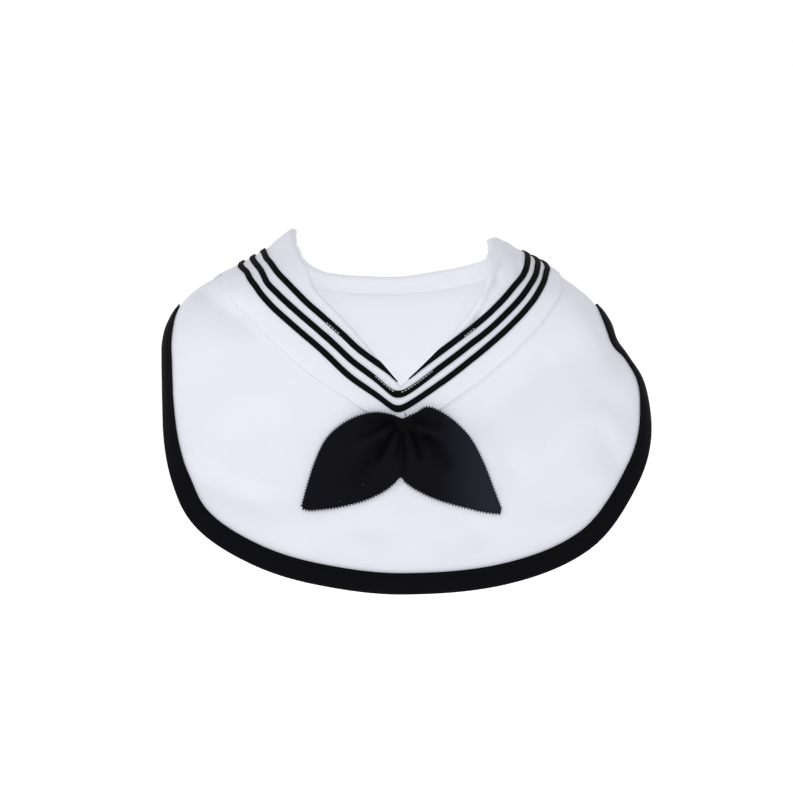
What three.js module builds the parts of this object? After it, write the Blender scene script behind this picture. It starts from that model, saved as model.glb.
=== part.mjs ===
// A baby's sailor collar bib, as it hangs when worn: a knitted cape with a V neck and a black bound
// hem, a turned collar with three black braids, and a small black neckerchief tacked under the V.
// Millimetres, +Z up. The front faces -Y and +X is the viewer's right. The origin is the middle of
// the neck opening, level with the tops of the shoulders.
import * as THREE from 'three';

// Thicknesses and widths of the cloth
const PANEL_THICKNESS = 1.6;
const COLLAR_THICKNESS = 1.2;
const BINDING_THICKNESS = 1.0;
const BINDING_WIDTH = 11.5;
const BRAID_THICKNESS = 1.0;
const BRAID_WIDTH = 3.3;
const TIE_THICKNESS = 1.4;
// Share of the way from the neck edge to the inner braid that the collar is turned in behind
const FACING_SHARE = 0.45;
// Gap that layers sewn onto each other keep
const GAP = 0.3;
// Smallest distance between two rows of the mesh where they crowd together under the V
const ROW_SPACING = 0.6;
// How far a folded edge is rounded off, across the cloth and through it
const FOLD_ROUND = { across: 0.4, through: 0.25 };

// Columns of the mesh in each half, front centre to shoulder ridge and ridge to back centre
const FRONT_COLUMNS = 18;
const BACK_COLUMNS = 12;
// How much closer together the columns stand at the V and on the ridge
const CROWDING = 0.4;
// How far the columns of the hem are drawn to the ridge, fading between two distances from it
const HEM_PULL = { share: 0.65, near: 0.05, far: 0.4 };
// Length of one step when a line is laid beside another over the curved cloth
const STEP = 3;

const RIGHT = 1;
const LEFT = -1;

function table(names, rows) {
  return rows.map((row) => Object.fromEntries(names.map((name, i) => [name, row[i]])));
}

// The form that the cloth hangs over: half widths to either side and half depths of level sections
// that are squarer than an ellipse, whose power is 2
const SQUARENESS = 2.8;
const FORM = table(['z', 'right', 'left', 'front', 'back'], [
  [-205, 153.5, 150, 74, 72],
  [-160, 152.5, 146, 66, 69],
  [-135, 150.5, 139, 61, 67],
  [-115, 146.5, 134.5, 57, 64],
  [-95, 141, 131.4, 53.5, 61],
  [-80, 135.8, 130.6, 51, 59],
  [-70, 128.8, 130.3, 49.5, 57],
  [-60, 123.4, 129.2, 48, 55],
  [-50, 118.6, 125.3, 46, 52],
  [-36, 106.8, 115.4, 43, 48],
  [-28, 96.4, 105, 40.3, 44],
  [-20, 84.5, 88, 37, 39],
  [-10, 65.5, 70, 31, 32],
  [-6.2, 59.2, 66, 28, 28.6],
  [-4.6, 51.5, 63.9, 26.6, 27],
  [0, 42, 58, 22, 22],
  [6, 36, 50, 15, 15],
]);

// Lines drawn on the cloth. Each runs from the front centre over the shoulder to the back centre:
// front and back points are (distance from the centre plane, z), and ridge is z on the shoulder.
const NECK = {
  pointed: true,
  [RIGHT]: { front: [[0, -80.5], [15.5, -66], [34.5, -44.5], [46.6, -16], [48.9, -9.5], [49.8, -6]],
    ridge: -4.3, back: [[54, -7.5], [54.4, -12.5], [51.3, -17], [44.5, -19.5], [30, -22.8], [0, -26.5]] },
  [LEFT]: { front: [[0, -80.5], [29.5, -45.5], [48.3, -20.6], [53.4, -11], [55.7, -7], [56.2, -2]],
    ridge: 1.8, back: [[55.6, -1], [54, -8], [48, -18.5], [36, -24.4], [0, -26.5]] },
};
const INNER_BRAID = {
  pointed: true,
  [RIGHT]: { front: [[0, -77.3], [9, -71.3], [23.5, -61], [45.5, -43.7], [64.4, -26], [70.1, -16]],
    ridge: -13.8, back: [[73.4, -19.5], [69.5, -29.5], [57, -38.3], [32, -44.8], [0, -47]] },
  [LEFT]: { front: [[0, -77.3], [22.2, -60.8], [41.3, -43.4], [50.6, -35], [58.4, -27.5], [63.8, -21.5],
    [70, -14.5]], ridge: -11.7, back: [[73, -18.5], [69.2, -29], [57, -38.2], [32, -44.8], [0, -47]] },
};
const OUTER_BRAID = {
  pointed: true,
  [RIGHT]: { front: [[0, -92.6], [23.8, -77.4], [45.5, -60.7], [71.6, -35.6], [77, -29], [80.8, -22.7]],
    ridge: -18.6, back: [[84.4, -27], [79.5, -41], [65, -51.8], [36, -58.4], [0, -60.5]] },
  [LEFT]: { front: [[0, -92.6], [25, -77.3], [43.3, -60.3], [76, -31], [81.6, -23.4]], ridge: -18.2,
    back: [[84.6, -26], [79.5, -40.5], [65, -51.6], [36, -58.4], [0, -60.5]] },
};
const COLLAR_EDGE = {
  pointed: true,
  [RIGHT]: { front: [[0, -107], [29.7, -86.5], [51, -71], [71.6, -52.5], [83.5, -38], [88.4, -31], [88.7, -26]],
    ridge: -21.8, back: [[94, -37], [88, -51.5], [72, -63.5], [40, -69.8], [0, -72]] },
  [LEFT]: { front: [[0, -107], [29.9, -86.1], [49, -73.5], [71.5, -53.5], [87, -38], [95, -27]],
    ridge: -23, back: [[97.5, -37], [90.5, -51.5], [73, -63.5], [40, -69.8], [0, -72]] },
};
const HEM = {
  pointed: false,
  [RIGHT]: { front: [[0, -189.6], [56, -185], [102, -168], [130.4, -134.6], [139.4, -102], [138.1, -90],
    [134.1, -78], [126.6, -66.5], [121.5, -56.5]], ridge: -50,
    back: [[113.5, -70], [103, -95], [78, -113.5], [42, -124.5], [0, -128]] },
  [LEFT]: { front: [[0, -189.6], [46, -184.2], [81, -173.6], [113.5, -152], [127.4, -113.7], [128.3, -92],
    [128.4, -79], [128.5, -66], [127.5, -56]], ridge: -50,
    back: [[121.5, -72], [108, -96.5], [80, -114.5], [42, -125], [0, -128]] },
};

// Main folds and dents of the front: a soft ridge (height above 0) or trough between two points
const FOLDS = table(['x1', 'z1', 'x2', 'z2', 'width', 'height'], [
  [54, -9, 43, -36, 5, 2],
  [43, -36, 28, -54, 4.5, 1.4],
  [106, -37, 121, -62, 6, -2.5],
  [42, -99, 87, -63, 13, -3],
  [-107, -34, -86, -46, 9, -2],
  [-110, -132, -76, -141, 8, -1.8],
  [-60, -152, -28, -158, 9, 1.5],
]);

// The neckerchief's leaves: where its top and bottom edges lie, from the gather to the tip
const TACK = { x: 0.7, z: -101.7, halfWidth: 1.6, halfHeight: 3, halfDepth: 1 };
const LEAF = {
  [RIGHT]: table(['reach', 'topX', 'topZ', 'bottomX', 'bottomZ'], [
    [0, 0.9, -97.5, 0.5, -127.8],
    [0.25, 13.6, -91.3, 10.5, -136.6],
    [0.5, 26.5, -97.3, 21, -141.3],
    [0.75, 40, -112, 36, -144.6],
    [0.9, 48, -132.5, 46.5, -146.2],
    [1, 52.6, -145.8, 51.6, -147.8],
  ]),
  [LEFT]: table(['reach', 'topX', 'topZ', 'bottomX', 'bottomZ'], [
    [0, 0.3, -97.5, 0.6, -127.8],
    [0.25, 14, -94.3, 11.8, -135.6],
    [0.5, 28.5, -98, 23, -140.3],
    [0.75, 41.5, -110, 37, -143.4],
    [0.9, 49, -127, 47, -144.1],
    [1, 53.1, -142, 52.3, -144.4],
  ]),
};
const LEAF_STEPS_ALONG = 13;
const LEAF_STEPS_ACROSS = 10;
// The gathered cloth stands up round the tack in folds that run out from it and die away
const PUFF = {
  height: 5.5, radius: 9, folds: 11, foldHeight: 0.24, seamWidth: 3.5, seamDepth: 0.75, edgeShare: 0.25,
};
// It rests on the collar near the tack and comes down onto the bib further out
const TIE_REST = { onBib: 0.8, onCollar: COLLAR_THICKNESS + 2.5 * GAP, from: 18, to: 32 };

function smoothCurve(xs, ys, level = []) {
  const last = xs.length - 1;
  const slopes = xs.map((x, i) => {
    const before = Math.max(i - 1, 0);
    const after = Math.min(i + 1, last);
    return (ys[after] - ys[before]) / (xs[after] - xs[before]);
  });
  for (const i of level) slopes[i] = 0;
  return (x) => {
    let i = 0;
    while (i < last - 1 && x >= xs[i + 1]) i += 1;
    const span = xs[i + 1] - xs[i];
    const t = (x - xs[i]) / span;
    return (2 * t ** 3 - 3 * t ** 2 + 1) * ys[i] + (t ** 3 - 2 * t ** 2 + t) * span * slopes[i]
      + (3 * t ** 2 - 2 * t ** 3) * ys[i + 1] + (t ** 3 - t ** 2) * span * slopes[i + 1];
  };
}

function smoothStep(from, to, x) {
  const t = THREE.MathUtils.clamp((x - from) / (to - from), 0, 1);
  return t * t * (3 - 2 * t);
}

const heights = FORM.map((section) => section.z);
const column = (name) => smoothCurve(heights, FORM.map((section) => section[name]));
const halfWidth = { [RIGHT]: column('right'), [LEFT]: column('left') };
const frontDepth = column('front');
const backDepth = column('back');

// A spot on the form is an angle round it (0 front, 90 degrees at +X, 180 back) and a height
function formPoint({ angle, z }) {
  const across = Math.sin(angle);
  const ahead = Math.cos(angle);
  const width = halfWidth[across >= 0 ? RIGHT : LEFT](z);
  const depth = ahead > 0 ? frontDepth(z) : backDepth(z);
  const reach = (Math.abs(across) ** SQUARENESS + Math.abs(ahead) ** SQUARENESS) ** (-1 / SQUARENESS);
  return new THREE.Vector3(width * reach * across, -depth * reach * ahead, z);
}

function spotOf(point) {
  const side = point.x >= 0 ? RIGHT : LEFT;
  const depth = point.y < 0 ? frontDepth(point.z) : backDepth(point.z);
  return { angle: Math.atan2(point.x / halfWidth[side](point.z), -point.y / depth), z: point.z };
}

// The spot on the front at a distance to one side of the centre plane
function spotAcross(side, distance, z) {
  const across = distance / halfWidth[side](z);
  const ahead = (1 - across ** SQUARENESS) ** (1 / SQUARENESS);
  return { angle: side * Math.atan2(across, ahead), z };
}

function spotBehind(side, distance, z) {
  return { angle: side * Math.PI - spotAcross(side, distance, z).angle, z };
}

function formNormal({ angle, z }) {
  const around = formPoint({ angle: angle + 0.001, z }).sub(formPoint({ angle: angle - 0.001, z }));
  const upward = formPoint({ angle, z: z + 0.05 }).sub(formPoint({ angle, z: z - 0.05 }));
  return around.cross(upward).normalize();
}

// How far the folds lift the cloth off the form, on the front alone
function foldRise(spot) {
  const { x, z } = formPoint(spot);
  const facing = smoothStep(0, 0.35, Math.cos(spot.angle));
  let rise = 0;
  for (const { x1, z1, x2, z2, width, height } of FOLDS) {
    const along = ((x - x1) * (x2 - x1) + (z - z1) * (z2 - z1)) / ((x2 - x1) ** 2 + (z2 - z1) ** 2);
    const t = THREE.MathUtils.clamp(along, 0, 1);
    const away = Math.hypot(x - x1 - t * (x2 - x1), z - z1 - t * (z2 - z1));
    rise += height * Math.exp(-((away / width) ** 2));
  }
  return facing * rise;
}

function lifted(spot, lift) {
  return formPoint(spot).addScaledVector(formNormal(spot), lift + foldRise(spot));
}

// A drawn line as a function of reach: 0 at the front centre, 1 on the ridge, 2 at the back centre
function drawnLine(line) {
  const half = (side) => {
    const { front, ridge, back } = line[side];
    const stops = [
      ...front.map(([distance, z]) => spotAcross(side, distance, z)),
      { angle: side * Math.PI / 2, z: ridge },
      ...back.map(([distance, z]) => spotBehind(side, distance, z)),
    ];
    const travelled = [0];
    stops.slice(1).forEach((stop, i) => {
      travelled.push(travelled[i] + formPoint(stops[i]).distanceTo(formPoint(stop)));
    });
    const ridgeAt = travelled[front.length];
    const end = travelled.at(-1);
    const angle = smoothCurve(travelled, stops.map((stop) => stop.angle));
    const level = [front.length, stops.length - 1];
    if (!line.pointed) level.push(0);
    const z = smoothCurve(travelled, stops.map((stop) => stop.z), level);
    return (reach) => {
      const s = reach < 1 ? reach * ridgeAt : ridgeAt + (reach - 1) * (end - ridgeAt);
      return { angle: angle(s), z: z(s) };
    };
  };
  const halves = { [RIGHT]: half(RIGHT), [LEFT]: half(LEFT) };
  return (side, reach) => halves[side](reach);
}

function between(lineA, lineB, share) {
  return (side, reach) => {
    const a = lineA(side, reach);
    const b = lineB(side, reach);
    return { angle: a.angle + share * (b.angle - a.angle), z: a.z + share * (b.z - a.z) };
  };
}

// The way across a line, over the cloth and away from the neck
function outwardFrom(line, side, reach) {
  const nudge = 0.004;
  const before = formPoint(line(side, Math.max(reach - nudge, 0)));
  const along = formPoint(line(side, Math.min(reach + nudge, 2))).sub(before).normalize();
  return along.cross(formNormal(line(side, reach))).multiplyScalar(side);
}

// Walks straight over the curved form
function walk(spot, direction, distance) {
  const steps = Math.max(1, Math.ceil(Math.abs(distance) / STEP));
  const heading = direction.clone();
  let here = spot;
  for (let i = 0; i < steps; i += 1) {
    here = spotOf(formPoint(here).addScaledVector(heading, distance / steps));
    heading.projectOnPlane(formNormal(here)).normalize();
  }
  return here;
}

// The line that runs beside another at a distance, away from the neck. At the front and back
// centre, both halves are carried on to the centre plane, where they meet in a mitre.
function beside(line, distance) {
  return (side, reach) => {
    const outward = outwardFrom(line, side, reach);
    const centre = reach === 0 || reach === 2;
    if (!centre) return walk(line(side, reach), outward, distance);
    const steepness = Math.hypot(outward.y, outward.z);
    const down = new THREE.Vector3(0, outward.y, outward.z).normalize();
    const { z } = walk(line(side, reach), down, distance / steepness);
    return { angle: line(side, reach).angle, z };
  };
}

// Keeps a line at least a distance outside the neck edge
function clearOf(neck, line, distance) {
  const nearest = beside(neck, distance);
  return (side, reach) => {
    const spot = line(side, reach);
    const outward = outwardFrom(neck, side, reach);
    const across = formPoint(spot).sub(formPoint(neck(side, reach))).dot(outward);
    const needed = formPoint(nearest(side, reach)).sub(formPoint(neck(side, reach))).dot(outward);
    return across < needed ? nearest(side, reach) : spot;
  };
}

const neck = drawnLine(NECK);
const innerBraid = drawnLine(INNER_BRAID);
const outerBraid = drawnLine(OUTER_BRAID);
const middleBraid = between(innerBraid, outerBraid, 0.5);
const collarEdge = drawnLine(COLLAR_EDGE);
// The hem turns sharply where it crosses the shoulder, so it has more columns there
function hemReach(reach) {
  const fromRidge = Math.abs(1 - reach);
  const pull = HEM_PULL.share * (1 - smoothStep(HEM_PULL.near, HEM_PULL.far, fromRidge));
  return reach + pull * (1 - reach);
}
const evenHem = drawnLine(HEM);
const hem = (side, reach) => evenHem(side, hemReach(reach));
const bindingEdge = beside(hem, -BINDING_WIDTH);
const HALF_BRAID = BRAID_WIDTH / 2;

// Both faces of the cloth and all layers share these rows, so that sewn layers stay parallel
const turnedIn = COLLAR_THICKNESS + GAP;
const facingEdge = clearOf(neck, between(neck, innerBraid, FACING_SHARE), turnedIn + ROW_SPACING);
const innerBraidTop = clearOf(neck, beside(innerBraid, -HALF_BRAID), turnedIn + 2 * ROW_SPACING);
const innerBraidFoot = clearOf(neck, beside(innerBraid, HALF_BRAID), turnedIn + 3 * ROW_SPACING);
const collarRows = [
  facingEdge,
  innerBraidTop,
  innerBraidFoot,
  beside(middleBraid, -HALF_BRAID),
  beside(middleBraid, HALF_BRAID),
  beside(outerBraid, -HALF_BRAID),
  beside(outerBraid, HALF_BRAID),
  collarEdge,
];
const hemTurn = BINDING_THICKNESS + GAP;
const bindingRows = [bindingEdge, beside(hem, -BINDING_WIDTH / 2), beside(hem, -hemTurn - GAP)];

// The columns of the ring, counterclockwise from the front centre
function crowded(share, turns) {
  return share - CROWDING * Math.sin(turns * Math.PI * share) / (turns * Math.PI);
}
const reaches = [];
for (let i = 0; i <= FRONT_COLUMNS; i += 1) reaches.push(crowded(i / FRONT_COLUMNS, 2));
for (let i = 1; i <= BACK_COLUMNS; i += 1) reaches.push(1 + crowded(i / BACK_COLUMNS, 1));
reaches[reaches.length - 1] = 2;
const columns = [
  ...reaches.map((reach) => ({ side: RIGHT, reach })),
  ...reaches.slice(1, -1).reverse().map((reach) => ({ side: LEFT, reach })),
];

function signedVolume(points, faces) {
  return faces.reduce((sum, [a, b, c]) => sum
    + points[a].dot(new THREE.Vector3().crossVectors(points[b], points[c])) / 6, 0);
}

function closedMesh(name, points, faces, material) {
  const outward = signedVolume(points, faces) > 0 ? faces : faces.map(([a, b, c]) => [a, c, b]);
  const geometry = new THREE.BufferGeometry();
  geometry.setAttribute('position',
    new THREE.Float32BufferAttribute(points.flatMap((point) => point.toArray()), 3));
  geometry.setIndex(outward.flat());
  geometry.computeVertexNormals();
  const mesh = new THREE.Mesh(geometry, material);
  mesh.name = name;
  return mesh;
}

function twoTriangles(a, b, c, d) {
  return [[a, b, c], [a, c, d]];
}

// Sweeps a closed profile along columns: each corner of it is a line on the cloth and a lift off it
function sweep(name, profile, along, isRing, material) {
  const count = along.length;
  const points = profile.flatMap(({ line, lift }) => (
    along.map(({ side, reach }) => lifted(line(side, reach), lift))));
  const meanHeight = profile.map((_, i) => points
    .slice(i * count, (i + 1) * count)
    .reduce((sum, point) => sum + point.z / count, 0));
  const faces = [];
  const spans = isRing ? count : count - 1;
  profile.forEach((_, i) => {
    const row = i * count;
    const nextIndex = (i + 1) % profile.length;
    const next = nextIndex * count;
    // The diagonals of all layers run the same way, away from the neck, so that layers stay parallel
    const leadsAway = meanHeight[i] > meanHeight[nextIndex];
    for (let j = 0; j < spans; j += 1) {
      const k = (j + 1) % count;
      const corners = [row + j, row + k, next + k, next + j];
      if (!leadsAway) corners.push(corners.shift());
      faces.push(...twoTriangles(...corners));
    }
  });
  if (!isRing) {
    const end = count - 1;
    faces.push(...twoTriangles(0, count, 2 * count, 3 * count));
    faces.push(...twoTriangles(3 * count + end, 2 * count + end, count + end, end));
  }
  return closedMesh(name, points, faces, material);
}

function at(lift, lines) {
  return lines.map((line) => ({ line, lift }));
}

const whiteKnit = { color: 0xe8e8f2, roughness: 0.92, metalness: 0 };
const blackKnit = { color: 0x16161b, roughness: 0.9, metalness: 0 };

function bibPanel() {
  const bodyRows = [0.25, 0.5, 0.75].map((share) => between(collarEdge, bindingEdge, share));
  const rows = [beside(neck, turnedIn), ...collarRows, ...bodyRows, ...bindingRows];
  const profile = [...at(0, rows), ...at(-PANEL_THICKNESS, rows.toReversed())];
  return sweep('bib_panel', profile, columns, true, new THREE.MeshStandardMaterial(whiteKnit));
}

// One piece of cloth: the band that lies on the bib, rolled over the neck edge and turned in behind
function sailorCollar() {
  const under = GAP;
  const top = GAP + COLLAR_THICKNESS;
  const behind = -PANEL_THICKNESS - GAP;
  const inside = behind - COLLAR_THICKNESS;
  const rollStart = beside(neck, turnedIn);
  const rollEdge = beside(neck, FOLD_ROUND.across);
  const innerWall = beside(neck, COLLAR_THICKNESS);
  const profile = [
    ...at(top, [...collarRows.toReversed(), rollStart]),
    { line: rollEdge, lift: top - FOLD_ROUND.through },
    { line: neck, lift: top - COLLAR_THICKNESS },
    { line: neck, lift: inside + COLLAR_THICKNESS },
    { line: rollEdge, lift: inside + FOLD_ROUND.through },
    ...at(inside, [rollStart, facingEdge]),
    ...at(behind, [facingEdge, innerWall]),
    ...at(under, [innerWall, ...collarRows]),
  ];
  return sweep('sailor_collar', profile, columns, true, new THREE.MeshStandardMaterial(whiteKnit));
}

function edgeBinding() {
  const behind = -PANEL_THICKNESS - GAP;
  const back = behind - BINDING_THICKNESS;
  const top = GAP + BINDING_THICKNESS;
  const rollEdge = beside(hem, -FOLD_ROUND.across);
  const innerWall = beside(hem, -BINDING_THICKNESS);
  const profile = [
    ...at(top, bindingRows),
    { line: rollEdge, lift: top - FOLD_ROUND.through },
    { line: hem, lift: 0 },
    { line: hem, lift: -PANEL_THICKNESS },
    { line: rollEdge, lift: back + FOLD_ROUND.through },
    ...at(back, bindingRows.toReversed()),
    ...at(behind, [...bindingRows, innerWall]),
    ...at(GAP, [innerWall, ...bindingRows.toReversed()]),
  ];
  return sweep('edge_binding', profile, columns, true, new THREE.MeshStandardMaterial(blackKnit));
}

function braid(name, top, foot, along) {
  const base = COLLAR_THICKNESS + 2 * GAP;
  const profile = [
    ...at(base, [top, foot]),
    ...at(base + BRAID_THICKNESS, [foot, top]),
  ];
  return sweep(name, profile, along, along === columns, new THREE.MeshStandardMaterial(blackKnit));
}

// The inner braid runs into the neck edge just short of the V, so it is open and its ends taper
function innerBraidStrip() {
  const width = ({ side, reach }) => (
    formPoint(innerBraidTop(side, reach)).distanceTo(formPoint(innerBraidFoot(side, reach))));
  const shown = columns.filter((spot) => width(spot) > 1.5 * ROW_SPACING);
  const start = shown.findIndex((spot, i) => i > 0 && spot.side === RIGHT && spot.reach < shown[i - 1].reach);
  const along = start > 0 ? [...shown.slice(start), ...shown.slice(0, start)] : shown;
  return braid('stripe_inner', innerBraidTop, innerBraidFoot, along);
}

// Lift of the neckerchief's back face above the bib at one place
function tieLift(x, z, across) {
  const dx = x - TACK.x;
  const dz = z - TACK.z;
  const radius = Math.hypot(dx, dz);
  const off = smoothStep(TIE_REST.from, TIE_REST.to, radius);
  const rest = TIE_REST.onCollar + off * (TIE_REST.onBib - TIE_REST.onCollar);
  const swell = (radius / PUFF.radius) * Math.exp(1 - radius / PUFF.radius);
  const folds = 1 + PUFF.foldHeight * Math.cos(PUFF.folds * Math.atan2(dx, dz));
  const seam = 1 - PUFF.seamDepth * Math.exp(-((dx / PUFF.seamWidth) ** 2));
  const fullness = THREE.MathUtils.lerp(PUFF.edgeShare, 1, Math.sqrt(4 * across * (1 - across)));
  return rest + PUFF.height * swell * folds * seam * fullness;
}

function tieLeaf(name, side) {
  const rows = LEAF[side];
  const reach = rows.map((row) => row.reach);
  const edge = (key) => smoothCurve(reach, rows.map((row) => row[key]));
  const [topX, topZ, bottomX, bottomZ] = ['topX', 'topZ', 'bottomX', 'bottomZ'].map(edge);
  const points = [];
  const stride = LEAF_STEPS_ACROSS + 1;
  const faceSize = (LEAF_STEPS_ALONG + 1) * stride;
  for (const thickness of [0, TIE_THICKNESS]) {
    for (let i = 0; i <= LEAF_STEPS_ALONG; i += 1) {
      const u = i / LEAF_STEPS_ALONG;
      for (let j = 0; j <= LEAF_STEPS_ACROSS; j += 1) {
        const v = j / LEAF_STEPS_ACROSS;
        const distance = topX(u) + v * (bottomX(u) - topX(u));
        const z = topZ(u) + v * (bottomZ(u) - topZ(u));
        points.push(lifted(spotAcross(side, distance, z), tieLift(side * distance, z, v) + thickness));
      }
    }
  }
  const faces = [];
  for (let i = 0; i < LEAF_STEPS_ALONG; i += 1) {
    for (let j = 0; j < LEAF_STEPS_ACROSS; j += 1) {
      const a = i * stride + j;
      faces.push(...twoTriangles(a, a + 1, a + stride + 1, a + stride));
      const b = a + faceSize;
      faces.push(...twoTriangles(b, b + stride, b + stride + 1, b + 1));
    }
  }
  const rim = [];
  for (let i = 0; i < LEAF_STEPS_ALONG; i += 1) rim.push(i * stride);
  for (let j = 0; j < LEAF_STEPS_ACROSS; j += 1) rim.push(LEAF_STEPS_ALONG * stride + j);
  for (let i = LEAF_STEPS_ALONG; i > 0; i -= 1) rim.push(i * stride + LEAF_STEPS_ACROSS);
  for (let j = LEAF_STEPS_ACROSS; j > 0; j -= 1) rim.push(j);
  rim.forEach((a, i) => {
    const b = rim[(i + 1) % rim.length];
    faces.push(...twoTriangles(a, b, b + faceSize, a + faceSize));
  });
  const black = { ...blackKnit, color: 0x1b1b22 };
  return closedMesh(name, points, faces, new THREE.MeshStandardMaterial(black));
}

// The hand stitches that pull the neckerchief together, as one small flattened bead of thread
function tieTack() {
  const geometry = new THREE.SphereGeometry(1, 12, 8);
  geometry.scale(TACK.halfWidth, TACK.halfDepth, TACK.halfHeight);
  const mesh = new THREE.Mesh(geometry, new THREE.MeshStandardMaterial(blackKnit));
  mesh.name = 'tie_tack';
  const lift = tieLift(TACK.x, TACK.z - TACK.halfHeight, 0.5) + TIE_THICKNESS + 2 * GAP + TACK.halfDepth;
  mesh.position.copy(lifted(spotAcross(RIGHT, TACK.x, TACK.z), lift));
  return mesh;
}

const collar = new THREE.Group();
collar.add(bibPanel());
collar.add(edgeBinding());
collar.add(sailorCollar());
collar.add(innerBraidStrip());
collar.add(braid('stripe_middle', collarRows[3], collarRows[4], columns));
collar.add(braid('stripe_outer', collarRows[5], collarRows[6], columns));
collar.add(tieLeaf('tie_right', RIGHT));
collar.add(tieLeaf('tie_left', LEFT));
collar.add(tieTack());

export default collar;
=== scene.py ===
import math

import bmesh
import bpy
import numpy as np
from mathutils import Matrix, Vector


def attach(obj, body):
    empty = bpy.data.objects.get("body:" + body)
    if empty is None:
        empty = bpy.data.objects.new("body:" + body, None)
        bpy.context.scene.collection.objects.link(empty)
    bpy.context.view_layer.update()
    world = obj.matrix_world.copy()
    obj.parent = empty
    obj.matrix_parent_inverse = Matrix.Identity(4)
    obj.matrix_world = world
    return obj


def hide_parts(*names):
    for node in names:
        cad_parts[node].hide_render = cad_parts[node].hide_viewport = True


# A baby's sailor collar bib, hanging as it is worn: a white knitted cape and turned collar with black
# braid, a black bound hem and a small black neckerchief. Tables are in millimetres, meshes in metres.
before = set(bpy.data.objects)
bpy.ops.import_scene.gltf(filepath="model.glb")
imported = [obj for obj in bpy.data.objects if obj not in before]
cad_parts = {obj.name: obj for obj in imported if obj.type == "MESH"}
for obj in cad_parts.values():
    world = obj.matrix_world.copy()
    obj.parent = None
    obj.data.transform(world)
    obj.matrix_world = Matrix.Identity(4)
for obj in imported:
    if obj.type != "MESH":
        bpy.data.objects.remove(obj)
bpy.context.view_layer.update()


# The bib: a round cape of white interlock knit, cut in one piece round the neck. It has no fastening
# and hangs from the shoulders, so it takes the fall of a child's chest, shoulders and back.
MM = 0.001
# the level sections of the body lie between an ellipse (2) and a box
SQUARENESS = 2.8
# height, half width to the right and to the left, depth in front and behind
FORM = np.array([
    (-205, 153.5, 150, 74, 72),
    (-160, 152.5, 146, 66, 69),
    (-135, 150.5, 139, 61, 67),
    (-115, 146.5, 134.5, 57, 64),
    (-95, 141, 131.4, 53.5, 61),
    (-80, 135.8, 130.6, 51, 59),
    (-70, 128.8, 130.3, 49.5, 57),
    (-60, 123.4, 129.2, 48, 55),
    (-50, 118.6, 125.3, 46, 52),
    (-36, 106.8, 115.4, 43, 48),
    (-28, 96.4, 105, 40.3, 44),
    (-20, 84.5, 88, 37, 39),
    (-10, 65.5, 70, 31, 32),
    (-6.2, 59.2, 66, 28, 28.6),
    (-4.6, 51.5, 63.9, 26.6, 27),
    (0, 42, 58, 22, 22),
    (6, 36, 50, 15, 15),
])
# Soft ridges (height above 0) and troughs between two points of the front: x, z, x, z, width, height
FRONT_FOLDS = [
    (54, -9, 43, -36, 5, 2),
    (43, -36, 28, -54, 4.5, 1.4),
    (106, -37, 121, -62, 6, -2.5),
    (42, -99, 87, -63, 13, -3),
    (-107, -34, -86, -46, 9, -2),
    (-110, -132, -76, -141, 8, -1.8),
    (-60, -152, -28, -158, 9, 1.5),
    (57.5, -8, 52, -25, 2.1, -1.6),
    (52, -25, 41, -45, 2.1, -1.7),
    (41, -45, 29.5, -54.5, 2, -1),
    (63, -11, 65, -22, 2.2, -0.9),
    (-108, -30, -87, -43, 4.5, -1.8),
    (-87, -43, -60, -67, 5, -0.7),
    (106, -42, 112, -54, 4, -0.5),
    (40, -100, 80, -69, 6, -1.8),
    (52, -101, 57, -122, 6, -1.4),
    (108, -105, 118, -125, 5, -1.4),
    (97, -140, 82, -146, 7, -1.4),
    (-106, -131, -80, -140, 5, -1.2),
    (-66, -130, -70, -147, 7, -1.2),
    (-68, -98, -71, -124, 8, -1.2),
    (-39, -158, -12, -155, 7, -1.4),
    (24, -163, 40, -160, 7, -1.2),
    (28, -150, 44, -156, 7, -1.1),
    (-48, -104, -60, -122, 7, -1),
    (84, -150, 100, -128, 9, 1.2),
    (70, -118, 104, -96, 12, 1.8),
    (-96, -92, -74, -86, 14, 1.3),
    (108, -88, 124, -96, 7, -1.3),
]
BACK_FOLDS = [
    (-104, -38, -62, -88, 9, -1.6),
    (106, -40, 58, -92, 9, -1.8),
    (-30, -74, -22, -122, 8, -0.9),
    (34, -76, 27, -122, 9, -0.8),
    (78, -70, 90, -104, 8, 1.1),
    (-80, -66, -92, -100, 8, 1),
    (0, -30, 2, -60, 12, -0.5),
]


def smooth_curve(xs, ys, level=()):
    """A flowing curve through points, level at those listed."""
    xs, ys = np.array(xs, float), np.array(ys, float)
    last = len(xs) - 1
    before = np.maximum(np.arange(last + 1) - 1, 0)
    after = np.minimum(np.arange(last + 1) + 1, last)
    slopes = (ys[after] - ys[before]) / (xs[after] - xs[before])
    slopes[list(level)] = 0

    def curve(x):
        i = np.clip(np.searchsorted(xs, x, side="right") - 1, 0, last - 1)
        span = xs[i + 1] - xs[i]
        t = (x - xs[i]) / span
        return ((2 * t**3 - 3 * t**2 + 1) * ys[i] + (t**3 - 2 * t**2 + t) * span * slopes[i]
                + (3 * t**2 - 2 * t**3) * ys[i + 1] + (t**3 - t**2) * span * slopes[i + 1])
    return curve


def smooth_step(start, end, x):
    t = np.clip((x - start) / (end - start), 0, 1)
    return t * t * (3 - 2 * t)


right_width, left_width, front_depth, back_depth = (
    smooth_curve(FORM[:, 0], FORM[:, column]) for column in range(1, 5))


def half_width(side, z):
    return np.where(side > 0, right_width(z), left_width(z))


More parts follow.
